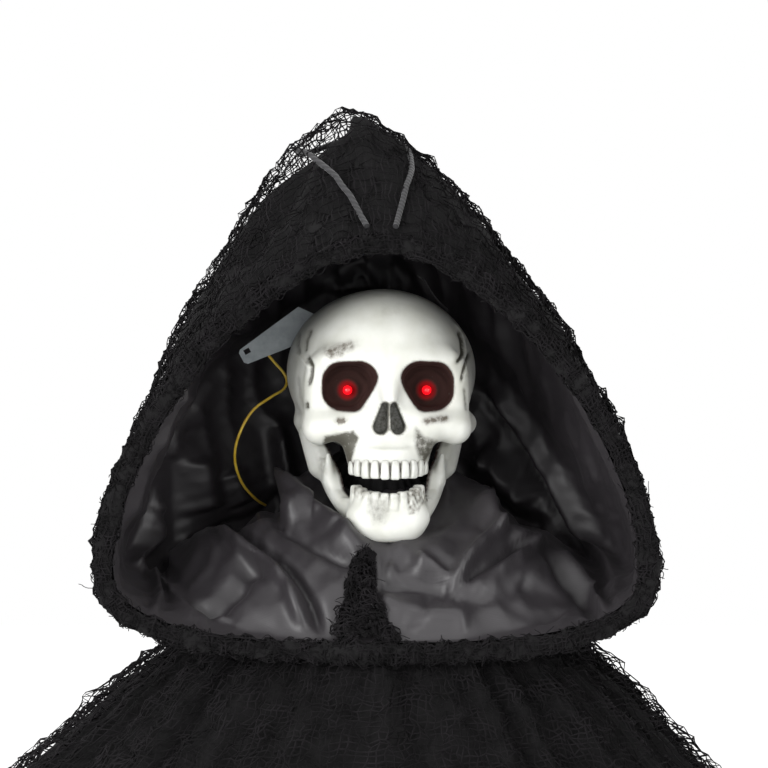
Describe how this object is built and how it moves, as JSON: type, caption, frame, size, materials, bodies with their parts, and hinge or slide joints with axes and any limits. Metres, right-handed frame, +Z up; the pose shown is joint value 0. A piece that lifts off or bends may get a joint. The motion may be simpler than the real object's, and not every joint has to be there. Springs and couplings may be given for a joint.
{
  "type": "hooded skull bust",
  "caption": "Grim reaper bust: an open-jawed skull with lamp eyes inside a wide black gauze hood lined with satin, on draped shoulders cut flat below.",
  "frame": {"origin": "middle of the flat underside on which the bust stands", "axes": "+Z up, the face looks along -Y, +X to the viewer's right"},
  "size_m": [0.42, 0.2126, 0.3824],
  "materials": {
    "bone": "cast white plastic with dark dirt painted into the hollows",
    "lamp": "clear red lens",
    "gauze": "loose black gauze over black cloth",
    "satin": "black satin",
    "strip": "flat grey sheet",
    "loop": "round dark cord",
    "lead": "yellow insulated wire"
  },
  "bodies": {
    "root": {"skull": "bone", "jaw": "bone", "eye_lamp_left": "lamp", "eye_lamp_right": "lamp", "hood": "gauze", "hood_lining": "satin", "robe": "gauze", "grey_strip": "strip", "hang_loop": "loop", "lamp_lead": "lead"}
  },
  "joints": []
}
